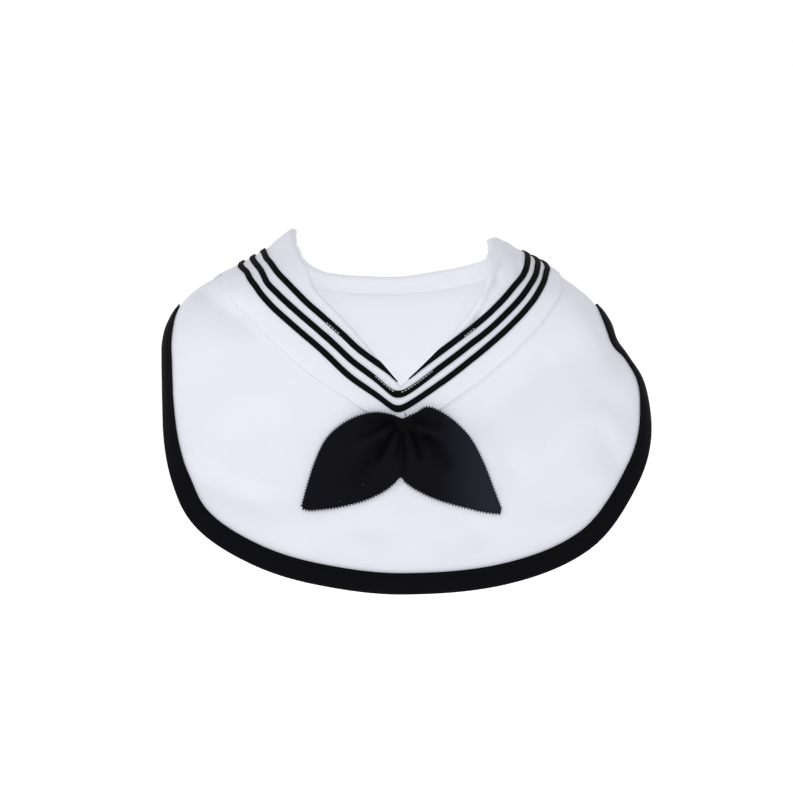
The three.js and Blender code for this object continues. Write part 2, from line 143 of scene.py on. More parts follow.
# A place on the cloth is a spot: its angle round the body (0 in front, a right angle at +X) and height
def form_point(angle, z):
    across, ahead = np.sin(angle), np.cos(angle)
    width = half_width(across >= 0, z)
    depth = np.where(ahead > 0, front_depth(z), back_depth(z))
    reach = (abs(across) ** SQUARENESS + abs(ahead) ** SQUARENESS) ** (-1 / SQUARENESS)
    return np.stack([width * reach * across, -depth * reach * ahead, z + 0 * angle], axis=-1)


def spot_of(point):
    x, y, z = point[..., 0], point[..., 1], point[..., 2]
    depth = np.where(y < 0, front_depth(z), back_depth(z))
    return np.arctan2(x / half_width(x >= 0, z), -y / depth), z


def spot_at(x, z):
    """The spot on the front at a distance x from the centre plane."""
    across = abs(x) / half_width(x >= 0, z)
    return np.sign(x) * np.arctan2(across, np.maximum(1 - across**SQUARENESS, 0) ** (1 / SQUARENESS)), z


def form_normal(angle, z):
    turn, rise = 0.001, 0.05
    around = form_point(angle + turn, z) - form_point(angle - turn, z)
    upward = form_point(angle, z + rise) - form_point(angle, z - rise)
    normal = np.cross(around, upward)
    return normal / np.linalg.norm(normal, axis=-1, keepdims=True)


def ridge_heights(x, z, folds, fade=0.0):
    """Summed height of soft ridges and troughs, each fading from its first end to its second."""
    rise = np.zeros(np.shape(x))
    for x1, z1, x2, z2, width, height in folds:
        along = ((x - x1) * (x2 - x1) + (z - z1) * (z2 - z1)) / ((x2 - x1) ** 2 + (z2 - z1) ** 2)
        t = np.clip(along, 0, 1)
        away = np.hypot(x - x1 - t * (x2 - x1), z - z1 - t * (z2 - z1))
        rise = rise + height * (1 - fade * t) * np.exp(-((away / width) ** 2))
    return rise


# the folds of front and back die away towards the shoulder ridge
FOLDS_FULL = 0.35


def fold_rise(angle, z):
    x = form_point(angle, z)[..., 0]
    facing = np.cos(angle)
    return (smooth_step(0, FOLDS_FULL, facing) * ridge_heights(x, z, FRONT_FOLDS)
            + smooth_step(0, FOLDS_FULL, -facing) * ridge_heights(x, z, BACK_FOLDS))


def cloth_point(angle, z, lift):
    """A point above the cloth of the bib, whose outer face has no lift."""
    return form_point(angle, z) + form_normal(angle, z) * (lift + fold_rise(angle, z))[..., None]


def run_along(path):
    """How far along a row of points each of them lies."""
    return np.concatenate([[0], np.cumsum(np.linalg.norm(np.diff(path, axis=0), axis=1))])


# Lines on the cloth run from the front centre (reach 0) over the shoulder ridge (1) to the back centre
# (2). Front and back points are distance from the centre plane and height; ridge is a height. A point
# on the centre plane is kept just on its own side of it.
OFF_CENTRE = 1e-9


def drawn_line(right, left, pointed=True):
    halves = {}
    for side, (front, ridge, back) in ((1, right), (-1, left)):
        ahead = [spot_at(side * max(x, OFF_CENTRE), z) for x, z in front]
        behind = [spot_at(side * max(x, OFF_CENTRE), z) for x, z in back]
        stops = ahead + [(side * math.pi / 2, ridge)] + [(side * math.pi - a, z) for a, z in behind]
        angles, heights = np.array(stops, float).T
        travelled = run_along(form_point(angles, heights))
        level = [len(front), len(stops) - 1] + ([] if pointed else [0])
        halves[side] = (smooth_curve(travelled, angles), smooth_curve(travelled, heights, level),
                        travelled[len(front)], travelled[-1])

    def line(side, reach):
        angle, z = np.zeros(len(reach)), np.zeros(len(reach))
        for half, (angle_at, height_at, ridge_at, end) in halves.items():
            here = side == half
            r = reach[here]
            s = np.where(r < 1, r * ridge_at, ridge_at + (r - 1) * (end - ridge_at))
            angle[here], z[here] = angle_at(s), height_at(s)
        return angle, z
    return line


def between(line_a, line_b, share):
    """The line at a share of the way from one line to another."""
    def line(side, reach):
        (angle_a, z_a), (angle_b, z_b) = line_a(side, reach), line_b(side, reach)
        return angle_a + share * (angle_b - angle_a), z_a + share * (z_b - z_a)
    return line


def outward_from(line, side, reach):
    """The way across a line, over the cloth and away from the neck."""
    bit = 0.004
    ahead = form_point(*line(side, np.minimum(reach + bit, 2)))
    along = ahead - form_point(*line(side, np.maximum(reach - bit, 0)))
    outward = np.cross(along, form_normal(*line(side, reach))) * side[:, None]
    return outward / np.linalg.norm(outward, axis=1, keepdims=True)


def walk(spot, heading, distance):
    """The spot at a distance over the cloth, reached in short steps that follow its curve."""
    longest_step = 3
    steps = max(1, math.ceil(np.max(abs(distance)) / longest_step))
    for _ in range(steps):
        spot = spot_of(form_point(*spot) + heading * np.reshape(distance / steps, (-1, 1)))
        normal = form_normal(*spot)
        heading = heading - normal * np.sum(heading * normal, axis=1, keepdims=True)
        heading = heading / np.linalg.norm(heading, axis=1, keepdims=True)
    return spot


def beside(line, distance):
    """The line that runs beside another, away from the neck, and meets in a mitre at the centre plane."""
    near_centre, touching = 0.5, 1e-6

    def shifted(side, reach):
        outward = outward_from(line, side, reach)
        angle, z = walk(line(side, reach), outward, distance)
        for one in (1, -1):
            for centre in (0.0, 2.0):
                post = (np.array([one]), np.array([centre]))
                start = line(*post)
                down = outward_from(line, *post) * (0, 1, 1)
                steepness = np.linalg.norm(down)
                mitre_z = walk(start, down / steepness, distance / steepness)[1]
                near = (side == one) & (abs(reach - centre) < near_centre)
                past = near & ((angle - start[0]) * one * (1 - centre) <= touching)
                angle[past | (near & (reach == centre))] = start[0]
                z[past | (near & (reach == centre))] = mitre_z
        return angle, z
    return shifted


def clear_of(edge, line, distance):
    """Keeps a line at least a distance outside an edge."""
    nearest = beside(edge, distance)

    def kept(side, reach):
        (angle, z), (near_angle, near_z) = line(side, reach), nearest(side, reach)
        base = form_point(*edge(side, reach))
        outward = outward_from(edge, side, reach)
        across = np.sum((form_point(angle, z) - base) * outward, axis=1)
        needed = np.sum((form_point(near_angle, near_z) - base) * outward, axis=1)
        return np.where(across < needed, near_angle, angle), np.where(across < needed, near_z, z)
    return kept


neck = drawn_line(
    ([(0, -80.5), (15.5, -66), (34.5, -44.5), (46.6, -16), (48.9, -9.5), (49.8, -6)], -4.3,
     [(54, -7.5), (54.4, -12.5), (51.3, -17), (44.5, -19.5), (30, -22.8), (0, -26.5)]),
    ([(0, -80.5), (29.5, -45.5), (48.3, -20.6), (53.4, -11), (55.7, -7), (56.2, -2)], 1.8,
     [(55.6, -1), (54, -8), (48, -18.5), (36, -24.4), (0, -26.5)]))
even_hem = drawn_line(
    ([(0, -189.6), (56, -185), (102, -168), (130.4, -134.6), (139.4, -102), (138.1, -90), (134.1, -78),
      (126.6, -66.5), (121.5, -56.5)], -50,
     [(113.5, -70), (103, -95), (78, -113.5), (42, -124.5), (0, -128)]),
    ([(0, -189.6), (46, -184.2), (81, -173.6), (113.5, -152), (127.4, -113.7), (128.3, -92),
      (128.4, -79), (128.5, -66), (127.5, -56)], -50,
     [(121.5, -72), (108, -96.5), (80, -114.5), (42, -125), (0, -128)]), pointed=False)
HEM_PULL, PULL_NEAR, PULL_FAR = 0.65, 0.05, 0.4


def hem(side, reach):
    """The hem, with its columns drawn together where it turns sharply over the shoulder."""
    pull = HEM_PULL * (1 - smooth_step(PULL_NEAR, PULL_FAR, abs(1 - reach)))
    return even_hem(side, reach + pull * (1 - reach))


def round_the_neck(front, back):
    """Sides and reaches of the columns of cloth, once round from the front centre."""
    # columns stand closer together at the front centre and over the ridge
    crowding = 0.4
    share = np.linspace(0, 1, front + 1)
    ahead = share - crowding * np.sin(2 * math.pi * share) / (2 * math.pi)
    share = np.linspace(0, 1, back + 1)[1:]
    behind = 1 + share - crowding * np.sin(math.pi * share) / math.pi
    reach = np.concatenate([ahead, behind])
    side = np.concatenate([np.ones(len(reach)), -np.ones(len(reach) - 1)])
    return side, np.concatenate([reach, reach[-2::-1]])


# heights of the shoulder ridge, from its top down
ridge_rows = np.linspace(6, -60, 40)


def cut_place(points):
    """Where points of the hanging cloth lay in the cut: across, and down from the shoulder ridge."""
    x, y, z = points[..., 0], points[..., 1], points[..., 2]
    ridge = np.where(x >= 0, np.interp(abs(x), right_width(ridge_rows), ridge_rows),
                     np.interp(abs(x), left_width(ridge_rows), ridge_rows))
    return np.stack([x, np.sign(y) * np.hypot(y, ridge - z)], axis=-1)


def placed(name, mesh):
    """The piece that a mesh makes, standing unturned at the origin."""
    data = bpy.data.meshes.new(name)
    mesh.to_mesh(data)
    mesh.free()
    data.shade_smooth()
    piece = bpy.data.objects.new(name, data)
    bpy.context.scene.collection.objects.link(piece)
    return piece


def lay_cloth(name, points, places, thickness, painted_light_and_shade=None):
    """A grid of cloth through rows of points, with its place in the cut as UVs and a wall on both sides."""
    same_point = 0.002 * MM
    rows, columns = points.shape[:2]
    mesh = bmesh.new()
    bmesh.ops.create_grid(mesh, x_segments=columns - 1, y_segments=rows - 1, size=0.5)
    layer = mesh.loops.layers.uv.new("cut")
    # each point keeps a tone: the painted light and shade of a leaf, 0 on other pieces
    tone = mesh.verts.layers.float.new("tone")
    place = {v: (round((v.co.y + 0.5) * (rows - 1)), round((v.co.x + 0.5) * (columns - 1)))
             for v in mesh.verts}
    for face in mesh.faces:
        for loop in face.loops:
            loop[layer].uv = places[place[loop.vert]]
    for v, (row, column) in place.items():
        v.co = points[row, column] * MM
        v[tone] = 0 if painted_light_and_shade is None else painted_light_and_shade[row, column]
    bmesh.ops.remove_doubles(mesh, verts=mesh.verts, dist=same_point)
    piece = placed(name, mesh)
    wall = piece.modifiers.new("wall", "SOLIDIFY")
    wall.thickness = thickness * MM
    wall.offset = 0
    soft = piece.modifiers.new("soft", "SUBSURF")
    soft.levels = soft.render_levels = 1
    return piece


def cloth_rows(columns, rows):
    """Points of the rows of a sheet: each row is a line and its lift, a number or one for each column."""
    level = np.zeros(len(columns[0]))
    points = np.stack([cloth_point(*line(*columns), lift + level) for line, lift in rows])
    if columns[1][0] == 0:
        points[:, [0, -1]] = points[:, [0, -1]].mean(axis=1, keepdims=True)
    return points


FLOAT = "NodeSocketFloat"


def sockets(group, ins, outs):
    """Gives a node group its inputs and outputs, and returns its two end nodes."""
    for name, kind, value in ins:
        socket = group.interface.new_socket(name, in_out="INPUT", socket_type=kind)
        if value is not None:
            socket.default_value = value
    for name, kind in outs:
        group.interface.new_socket(name, in_out="OUTPUT", socket_type=kind)
    return group.nodes.new("NodeGroupInput"), group.nodes.new("NodeGroupOutput")


def wire(tree, kind, inputs=(), **settings):
    """A node with its settings, whose inputs are values or the outputs of other nodes."""
    node = tree.nodes.new(kind)
    for key, value in settings.items():
        setattr(node, key, value)
    for key, value in dict(inputs).items():
        if isinstance(value, bpy.types.NodeSocket):
            tree.links.new(value, node.inputs[key])
        else:
            node.inputs[key].default_value = value
    return node


def maths(tree, operation, *values):
    return wire(tree, "ShaderNodeMath", enumerate(values), operation=operation).outputs[0]


# Knitted stitches: columns (wales) of small V shapes in rows (courses), with a mask of the furrows between
# them that carries painted shade. Place is in millimetres.
knit = bpy.data.node_groups.new("Knitted stitches", "ShaderNodeTree")
knit_in, knit_out = sockets(
    knit, [("Place", "NodeSocketVector", None), ("Wale", FLOAT, 0.7), ("Course", FLOAT, 0.6)],
    [("Height", FLOAT), ("Furrow shade", FLOAT)])
SLANT, LOOP_SHARE = 1.6, 0.55
place_xyz = wire(knit, "ShaderNodeSeparateXYZ", [(0, knit_in.outputs["Place"])])
wale = maths(knit, "DIVIDE", place_xyz.outputs[0], knit_in.outputs["Wale"])
course = maths(knit, "DIVIDE", place_xyz.outputs[1], knit_in.outputs["Course"])
beside_wale = maths(knit, "PINGPONG", wale, 0.5)
slanted = maths(knit, "ADD", course, maths(knit, "MULTIPLY", beside_wale, SLANT))
loop_sine = maths(knit, "SINE", maths(knit, "MULTIPLY", slanted, 2 * math.pi))
loop_wave = maths(knit, "MULTIPLY_ADD", loop_sine, 0.5, 0.5)
wale_wave = maths(knit, "SINE", maths(knit, "MULTIPLY", beside_wale, 2 * math.pi))
loop_height = maths(knit, "MULTIPLY_ADD", loop_wave, LOOP_SHARE, 1 - LOOP_SHARE)
stitch_height = maths(knit, "MULTIPLY", wale_wave, loop_height)
knit.links.new(stitch_height, knit_out.inputs["Height"])
knit.links.new(maths(knit, "SUBTRACT", 1.0, stitch_height), knit_out.inputs["Furrow shade"])

# Soft unevenness of cloth that has been worn and washed: faint tone and small dents
crumple = bpy.data.node_groups.new("Soft unevenness", "ShaderNodeTree")
crumple_in, crumple_out = sockets(crumple, [("Size", FLOAT, 40.0)], [("Height", FLOAT), ("Tone", FLOAT)])
crumple_place = wire(crumple, "ShaderNodeTexCoord").outputs["Object"]
FUZZ_SCALE, FUZZ_SHARE = 900.0, 0.4
dents = wire(crumple, "ShaderNodeTexNoise",
             [("Vector", crumple_place), ("Scale", crumple_in.outputs["Size"]), ("Detail", 3.0)])
fuzz = wire(crumple, "ShaderNodeTexNoise",
            [("Vector", crumple_place), ("Scale", FUZZ_SCALE), ("Detail", 2.0)])
crumple.links.new(dents.outputs[0], crumple_out.inputs["Height"])
dent_tone = maths(crumple, "MULTIPLY", dents.outputs[0], 1 - FUZZ_SHARE)
fuzzy_tone = maths(crumple, "MULTIPLY_ADD", fuzz.outputs[0], FUZZ_SHARE, dent_tone)
crumple.links.new(fuzzy_tone, crumple_out.inputs["Tone"])


def knitted(name, light, dark, wale, course, stitch_depth, sheen, specular=0.2):
    """A knitted material, light on the stitches, with painted shade in the furrows between them. Sizes are
    in millimetres.
    """
    roughness, roughness_spread, dent_depth, furrow_shade_share = 0.9, 0.12, 0.4, 0.55
    material = bpy.data.materials.new(name)
    material.use_nodes = True
    tree = material.node_tree
    shader = tree.nodes["Principled BSDF"]
    shader.inputs["Sheen Weight"].default_value = sheen
    shader.inputs["Sheen Roughness"].default_value = 0.5
    shader.inputs["Specular IOR Level"].default_value = specular
    place_node = wire(tree, "ShaderNodeUVMap", uv_map="cut")
    loops = wire(tree, "ShaderNodeGroup", node_tree=knit)
    tree.links.new(place_node.outputs[0], loops.inputs["Place"])
    loops.inputs["Wale"].default_value = wale
    loops.inputs["Course"].default_value = course
    uneven = wire(tree, "ShaderNodeGroup", node_tree=crumple)
    tone = maths(tree, "MULTIPLY", uneven.outputs["Tone"], 1 - furrow_shade_share)
    # the base colour darkens towards the second colour in the furrows as painted shade, mixed with the
    # random tone of the cloth
    shade = maths(tree, "MULTIPLY_ADD", loops.outputs["Furrow shade"], furrow_shade_share, tone)
    tint = wire(tree, "ShaderNodeMix", [(0, shade), (6, (*light, 1)), (7, (*dark, 1))], data_type="RGBA")
    tree.links.new(tint.outputs[2], shader.inputs["Base Color"])
    smoothest = roughness - roughness_spread / 2
    rough = maths(tree, "MULTIPLY_ADD", uneven.outputs["Tone"], roughness_spread, smoothest)
    tree.links.new(rough, shader.inputs["Roughness"])
    dents_bump = wire(tree, "ShaderNodeBump", [
        ("Height", uneven.outputs["Height"]), ("Distance", dent_depth * MM), ("Strength", 1.0)])
    knit_bump = wire(tree, "ShaderNodeBump", [
        ("Height", loops.outputs["Height"]), ("Distance", stitch_depth * MM),
        ("Normal", dents_bump.outputs[0]), ("Strength", 1.0)])
    tree.links.new(knit_bump.outputs[0], shader.inputs["Normal"])
    return material


# the inside copy of the knit is painted a little lighter than the outside, as painted light on the inner
# faces
WHITE, WHITE_FURROW_SHADE = (0.775, 0.775, 0.848), (0.695, 0.695, 0.77)
INSIDE_PAINTED_LIGHTER, INSIDE_FURROW_SHADE_PAINTED_LIGHTER = (0.835, 0.835, 0.885), (0.795, 0.795, 0.85)
INTERLOCK = {"wale": 0.75, "course": 0.62, "stitch_depth": 0.05, "sheen": 0.1}
white_knit = knitted("white interlock knit", WHITE, WHITE_FURROW_SHADE, **INTERLOCK)
knit_inside_painted_lighter = knitted("white interlock knit, inside, painted lighter", INSIDE_PAINTED_LIGHTER, INSIDE_FURROW_SHADE_PAINTED_LIGHTER, **INTERLOCK)

BIB_THICKNESS = 1.6
NECK_INSET, HEM_INSET = 2.3, 2.0
columns = round_the_neck(76, 50)
neck_cut, hem_cut = beside(neck, NECK_INSET), beside(hem, -HEM_INSET)
bib_rows = [(between(hem_cut, neck_cut, t), -BIB_THICKNESS / 2) for t in np.linspace(0, 1, 38)]
bib_points = cloth_rows(columns, bib_rows)
bib = lay_cloth("bib_cloth", bib_points, cut_place(bib_points), BIB_THICKNESS)
bib.data.materials.append(white_knit)
# the inner wall takes the copy of the knit painted lighter, as painted light
bib.data.materials.append(knit_inside_painted_lighter)
bib.modifiers["wall"].material_offset = 1
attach(bib, "root")
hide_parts("bib_panel")


# The collar: one piece of the same knit, laid on the bib in a V, rolled over the neck edge and turned
# in behind it, where a line of stitching holds it down. Its outer edge is folded under and pressed.
COLLAR_THICKNESS = 1.2
inner_braid = drawn_line(
    ([(0, -77.3), (9, -71.3), (23.5, -61), (44.4, -45.3), (57.5, -33.2), (65.2, -25.1), (69.6, -17.5),
      (70.7, -13.8)], -13,
     [(71.6, -13.9), (73.4, -19.5), (69.5, -29.5), (57, -38.3), (32, -44.8), (0, -47)]),
    ([(0, -77.3), (22.2, -61.4), (32, -52.4), (46.3, -39.8), (59.1, -27.7), (66.6, -19.9), (69.6, -16.1),
      (71.9, -12.4)], -11.5,
     [(72.9, -12.5), (73, -18.5), (69.2, -29), (57, -38.2), (32, -44.8), (0, -47)]))
outer_braid = drawn_line(
    ([(0, -92.6), (23.8, -77.4), (45.5, -60.7), (62.8, -45.6), (73.7, -33.6), (78.6, -25.7), (80.3, -21.9),
      (80.7, -18.3)], -18.1,
     [(81.3, -19.3), (84.4, -27), (79.5, -41), (65, -51.8), (36, -58.4), (0, -60.5)]),
    ([(0, -92.6), (25, -77.3), (42.8, -60.9), (56.4, -49.3), (66, -40.9), (73.7, -33), (78.2, -27.2),
      (82.1, -21.6), (84.3, -18.2)], -18,
     [(85, -19.4), (84.6, -26), (79.5, -40.5), (65, -51.6), (36, -58.4), (0, -60.5)]))
collar_edge = drawn_line(
    ([(0, -107), (29.7, -86.5), (51, -71), (71.6, -52.5), (83.5, -38), (88.4, -31), (88.7, -26)], -21.8,
     [(94, -37), (88, -51.5), (72, -63.5), (40, -69.8), (0, -72)]),
    ([(0, -107), (29.9, -86.1), (49, -73.5), (71.5, -53.5), (87, -38), (95, -27)], -23,
     [(97.5, -37), (90.5, -51.5), (73, -63.5), (40, -69.8), (0, -72)]))
ON_BIB, CLEARANCE = 0.9, 0.3
BEHIND_BIB = -BIB_THICKNESS - CLEARANCE - COLLAR_THICKNESS / 2
roll_radius = (ON_BIB - BEHIND_BIB) / 2
roll_from = COLLAR_THICKNESS / 2 + roll_radius
# the facing reaches this share of the way to the inner braid, and at least this far past the roll
FACING_SHARE, FACING_LEAST = 0.45, 1.5
facing_edge = clear_of(neck, between(neck, inner_braid, FACING_SHARE), roll_from + FACING_LEAST)
roll_start = beside(neck, roll_from)
# the pressed outer edge dips towards the bib, and the facing's edge stands off behind it
EDGE_DIP, EDGE_DIP_SHARE = 0.25, 0.03
FACING_STEP, STEP_FROM, STEP_TO = 0.55, 0.7, 0.95
half_turn = np.linspace(0, math.pi, 9)[1:-1]
# rows stand closer together at the outer edge and towards the roll
collar_rows = [(between(collar_edge, roll_start, t), ON_BIB - EDGE_DIP * math.exp(-t / EDGE_DIP_SHARE))
               for t in (0, 0.012, *(1 - np.linspace(0.98, 0, 33) ** 1.3))]
collar_rows += [(beside(neck, roll_from - roll_radius * math.sin(turn)),
                 (ON_BIB + BEHIND_BIB) / 2 + roll_radius * math.cos(turn)) for turn in half_turn]
collar_rows += [(between(roll_start, facing_edge, t),
                 BEHIND_BIB - FACING_STEP * smooth_step(STEP_FROM, STEP_TO, t))
                for t in (0, 0.25, 0.5, 0.75, 0.86, 0.97, 1)]
columns = round_the_neck(72, 44)
collar_points = cloth_rows(columns, collar_rows)
collar = lay_cloth("collar_cloth", collar_points, cut_place(collar_points), COLLAR_THICKNESS)
collar.data.materials.append(white_knit)
collar.data.materials.append(knit_inside_painted_lighter)
# behind the neck, the side that faces forward is the inside, and takes the copy of the knit painted lighter
BEHIND_NECK, FACES_FORWARD = 4 * MM, -0.2
for face in collar.data.polygons:
    if face.center.y > BEHIND_NECK and face.normal.y < FACES_FORWARD:
        face.material_index = 1
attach(collar, "root")
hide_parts("sailor_collar")


def thread_bead(mesh, start, end, radius):
    """One stitch: a short rounded bead of thread from start to end, in metres."""
    start, end = Vector(start), Vector(end)
    along = end - start
    turn = along.to_track_quat("Z", "Y").to_matrix().to_4x4()
    size = Matrix.Diagonal((radius, radius, along.length / 2, 1))
    bmesh.ops.create_uvsphere(mesh, u_segments=6, v_segments=5, radius=1,
                              matrix=Matrix.Translation((start + end) / 2) @ turn @ size)


def sewn(name, mesh, material):
    """A piece of sewing made of beads of thread."""
    piece = placed(name, mesh)
    piece.data.materials.append(material)
    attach(piece, "root")
    return piece


def thread_material(name, light, dark, sheen):
    """Matt twisted thread, mottled between two tones by a fine grain."""
    grain_scale, smoothest, roughness_spread, grain_depth = 2500.0, 0.6, 0.2, 0.1
    material = bpy.data.materials.new(name)
    material.use_nodes = True
    tree = material.node_tree
    shader = tree.nodes["Principled BSDF"]
    shader.inputs["Specular IOR Level"].default_value = 0.08
    shader.inputs["Sheen Weight"].default_value = sheen
    where = wire(tree, "ShaderNodeTexCoord").outputs["Object"]
    grain = wire(tree, "ShaderNodeTexNoise",
                 [("Vector", where), ("Scale", grain_scale), ("Detail", 2.0)]).outputs[0]
    tint = wire(tree, "ShaderNodeMix", [(0, grain), (6, (*light, 1)), (7, (*dark, 1))], data_type="RGBA")
    tree.links.new(tint.outputs[2], shader.inputs["Base Color"])
    rough = maths(tree, "MULTIPLY_ADD", grain, roughness_spread, smoothest)
    tree.links.new(rough, shader.inputs["Roughness"])
    strands = wire(tree, "ShaderNodeBump", [("Height", grain), ("Distance", grain_depth * MM)])
    tree.links.new(strands.outputs[0], shader.inputs["Normal"])
    return material


def stitches(mesh, heads, tails, radius):
    """Stitches between points in millimetres, made in batches: small meshes are quicker to add to."""
    batch_size = 30
    batch = bmesh.new()
    for n, (head, tail) in enumerate(zip(heads, tails)):
        thread_bead(batch, head * MM, tail * MM, radius * MM)
        if n % batch_size == batch_size - 1 or n == len(heads) - 1:
            data = bpy.data.meshes.new("batch")
            batch.to_mesh(data)
            mesh.from_mesh(data)
            bpy.data.meshes.remove(data)
            batch.clear()
    batch.free()


def points_at(distances, run, path):
    """Points at distances along a row of points that lie at the distances of run."""
    return np.stack([np.interp(distances, run, path[:, i]) for i in range(3)], axis=1)


def stitch_row(mesh, path, pitch, length, radius):
    """Stitches at an even pitch along a row of points."""
    run = run_along(path)
    starts = np.arange(0, run[-1] - length, pitch)
    stitches(mesh, points_at(starts, run, path), points_at(starts + length, run, path), radius)


white_thread = thread_material("white thread", (0.85, 0.85, 0.9), (0.65, 0.65, 0.72), sheen=0.1)
FACING_SEAM_INSET, FACING_SEAM_PROUD = 1.4, 0.05
facing_stitches = bmesh.new()
facing_seam = cloth_point(*beside(facing_edge, -FACING_SEAM_INSET)(*columns),
                          BEHIND_BIB - COLLAR_THICKNESS / 2 - FACING_SEAM_PROUD)
stitch_row(facing_stitches, facing_seam, pitch=2.7, length=2.0, radius=0.17)
sewn("facing_stitches", facing_stitches, white_thread)


# The binding: a strip of black rib knit folded over the raw hem, so that it shows 11.5 mm wide on both
# faces, and sewn through all layers close to its inner edges.
BINDING_WIDTH, BINDING_THICKNESS = 11.5, 1.0
binding_out = CLEARANCE + BINDING_THICKNESS / 2
binding_in = -BIB_THICKNESS - binding_out
turn_radius = (binding_out - binding_in) / 2
turn_from = BINDING_THICKNESS / 2 + turn_radius
PUFF, SEAM_AT, SEAM_DIP, SEAM_SPREAD = 0.3, 9.9, 0.25, 0.5


def puffed(d):
    """How far the strip swells at a distance from the hem, with a dip where it is sewn."""
    swell = PUFF * math.sin(math.pi * (BINDING_WIDTH - d) / (BINDING_WIDTH - turn_from))
    return swell - SEAM_DIP * math.exp(-((d - SEAM_AT) / SEAM_SPREAD) ** 2)


# distances of the rows from the hem
face_rows = (BINDING_WIDTH, 11.3, 10.7, 10.3, SEAM_AT, 9.5, 8.8, 7.6, 6.2, 4.6, 3.2, turn_from)
binding_rows = [(beside(hem, -d), binding_out + puffed(d)) for d in face_rows]
binding_rows += [(beside(hem, -(turn_from - turn_radius * math.sin(turn))),
                  (binding_out + binding_in) / 2 + turn_radius * math.cos(turn)) for turn in half_turn]
binding_rows += [(beside(hem, -d), binding_in - puffed(d)) for d in reversed(face_rows)]
binding_rows.reverse()
columns = round_the_neck(114, 66)
binding_points = cloth_rows(columns, binding_rows)
# the strip's place in the cut: along the hem, and a millimetre a row across
binding_places = np.stack(np.meshgrid(run_along(form_point(*hem(*columns))),
                                      np.arange(len(binding_rows))), axis=-1)
binding = lay_cloth("binding_strip", binding_points, binding_places, BINDING_THICKNESS)
BLACK = (0.005, 0.0052, 0.0075)
# its darker colour is painted shade in the furrows between the stitches
black_rib = knitted("black rib knit", BLACK, (0.002, 0.002, 0.003), wale=1.1, course=0.9,
                    stitch_depth=0.12, sheen=0.02, specular=0.04)
binding.data.materials.append(black_rib)
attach(binding, "root")
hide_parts("edge_binding")

black_thread = thread_material("black thread", (0.005, 0.0053, 0.0045), (0.0015, 0.0015, 0.002),
                               sheen=0.01)
HEM_SEAM_PROUD = 0.03
hem_stitches = bmesh.new()
seam_lift = puffed(SEAM_AT) + BINDING_THICKNESS / 2 + HEM_SEAM_PROUD
for lift in (binding_out + seam_lift, binding_in - seam_lift):
    hem_seam = cloth_point(*beside(hem, -SEAM_AT)(*columns), lift)
    stitch_row(hem_stitches, hem_seam, pitch=2.9, length=2.2, radius=0.19)
sewn("hem_stitches", hem_stitches, black_thread)


# The braids: three flat black tapes, 3.3 mm wide, sewn along the collar. The inner one runs into the
# rolled neck edge just short of the V.
BRAID_WIDTH, BRAID_THICKNESS = 3.3, 0.8
middle_braid = between(inner_braid, outer_braid, 0.5)
# its darker colour is painted shade in the furrows between the stitches
black_braid = knitted("black braid", BLACK, (0.0015, 0.0015, 0.0025), wale=0.8, course=0.55,
                      stitch_depth=0.1, sheen=0.02, specular=0.05)
# how near the centre the V is eased, its slope and spread, and how far its point sits to the left
V_WITHIN, V_SLOPE, V_SPREAD, V_SHIFT, SHIFT_SPREAD = 40, 0.72, 12, 1.7, 9


def turned(line, radius):
    """A line whose V is eased round a corner, and whose point sits a little to the left."""
    def eased(side, reach):
        angle, z = line(side, reach)
        x = form_point(angle, z)[:, 0]
        near = (reach < 0.5) & (abs(x) < V_WITHIN)
        rise = V_SLOPE * (np.hypot(x, radius) - abs(x) - radius * np.exp(-((x / V_SPREAD) ** 2)))
        new_angle, new_z = spot_at(x - V_SHIFT * np.exp(-((x / SHIFT_SPREAD) ** 2)), z + rise)
        return np.where(near, new_angle, angle), np.where(near, new_z, z)
    return eased


def sew_braid(name, node, line, columns, radius=None):
    """A braid along a line, turned round the V at a radius, or else running out at the neck edge."""
    narrowest, crown, over_collar, from_neck_edge = 0.15, 0.12, 0.05, 0.02
    edges = [beside(line, -BRAID_WIDTH / 2), beside(line, BRAID_WIDTH / 2)]
    if radius:
        edges = [turned(edge, radius) for edge in edges]
    else:
        edges = [clear_of(neck, edge, from_neck_edge) for edge in edges]
        gap = form_point(*edges[0](*columns)) - form_point(*edges[1](*columns))
        shown = np.linalg.norm(gap, axis=1) > narrowest
        columns = (columns[0][shown], columns[1][shown])
    base = ON_BIB + (COLLAR_THICKNESS + BRAID_THICKNESS) / 2 + over_collar
    bend = base - (ON_BIB + BEHIND_BIB) / 2
    rows = []
    for t in (1, 0.92, 0.7, 0.5, 0.3, 0.08, 0):
        row = between(*edges, t)
        spot = row(*columns)
        from_neck = form_point(*spot) - form_point(*neck(*columns))
        off_neck = np.sum(from_neck * outward_from(neck, *columns), axis=1)
        over_roll = np.clip(roll_from - off_neck, 0, bend)
        drop = bend - np.sqrt(bend**2 - over_roll**2)
        rows.append((row, base + crown * math.sin(math.pi * t) - drop))
    points = cloth_rows(columns, rows)
    middle_row = points[len(rows) // 2]
    places = np.stack(np.meshgrid(run_along(middle_row), np.linspace(0, BRAID_WIDTH, len(rows))), axis=-1)
    piece = lay_cloth(name, points, places, BRAID_THICKNESS)
    piece.data.materials.append(black_braid)
    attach(piece, "root")
    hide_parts(node)
    return piece


MIDDLE_TURN, OUTER_TURN = 4, 2.5
columns = round_the_neck(110, 60)
braids = [sew_braid("braid_inner", "stripe_inner", inner_braid, columns),
          sew_braid("braid_middle", "stripe_middle", middle_braid, columns, radius=MIDDLE_TURN),
          sew_braid("braid_outer", "stripe_outer", outer_braid, columns, radius=OUTER_TURN)]

